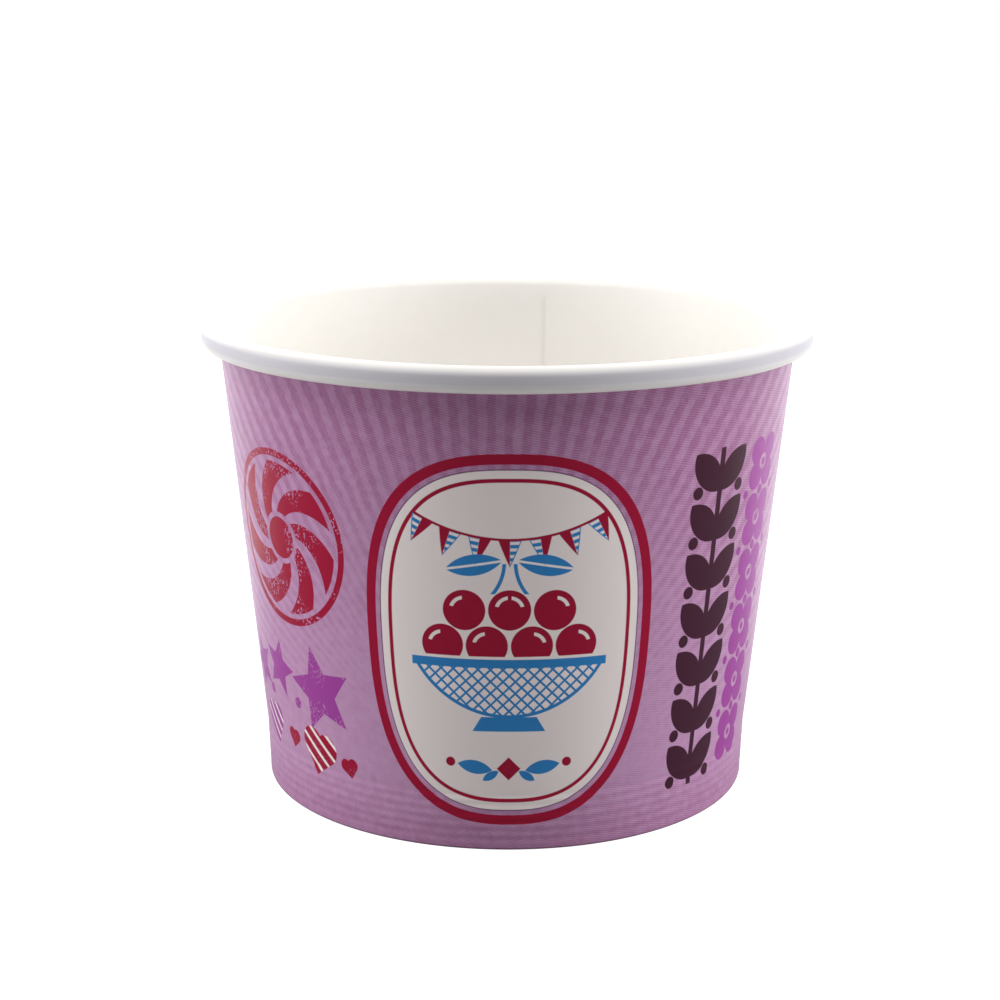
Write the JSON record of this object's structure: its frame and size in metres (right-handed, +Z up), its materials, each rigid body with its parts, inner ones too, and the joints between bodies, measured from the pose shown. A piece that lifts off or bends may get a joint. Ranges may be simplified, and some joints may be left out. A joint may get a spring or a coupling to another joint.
{
  "type": "paper dessert cup",
  "caption": "Open paper dessert cup with a tapered printed wall, an outward rolled rim, a pressed foot band and a recessed bottom disc.",
  "frame": {"origin": "centre of the circle that the cup stands on, in the plane of its foot", "axes": "+Z up along the cup's axis, -Y towards the front of the print, the glued lap of the wall at the back 9 degrees off +Y towards +X"},
  "size_m": [0.098, 0.098, 0.0756],
  "materials": {
    "side_wall": "satin coated board, printed lilac outside, bare cream white inside and on the rim",
    "bottom_disc": "satin coated board, cream white"
  },
  "bodies": {
    "root": {"side_wall": "side_wall", "bottom_disc": "bottom_disc"}
  },
  "joints": []
}
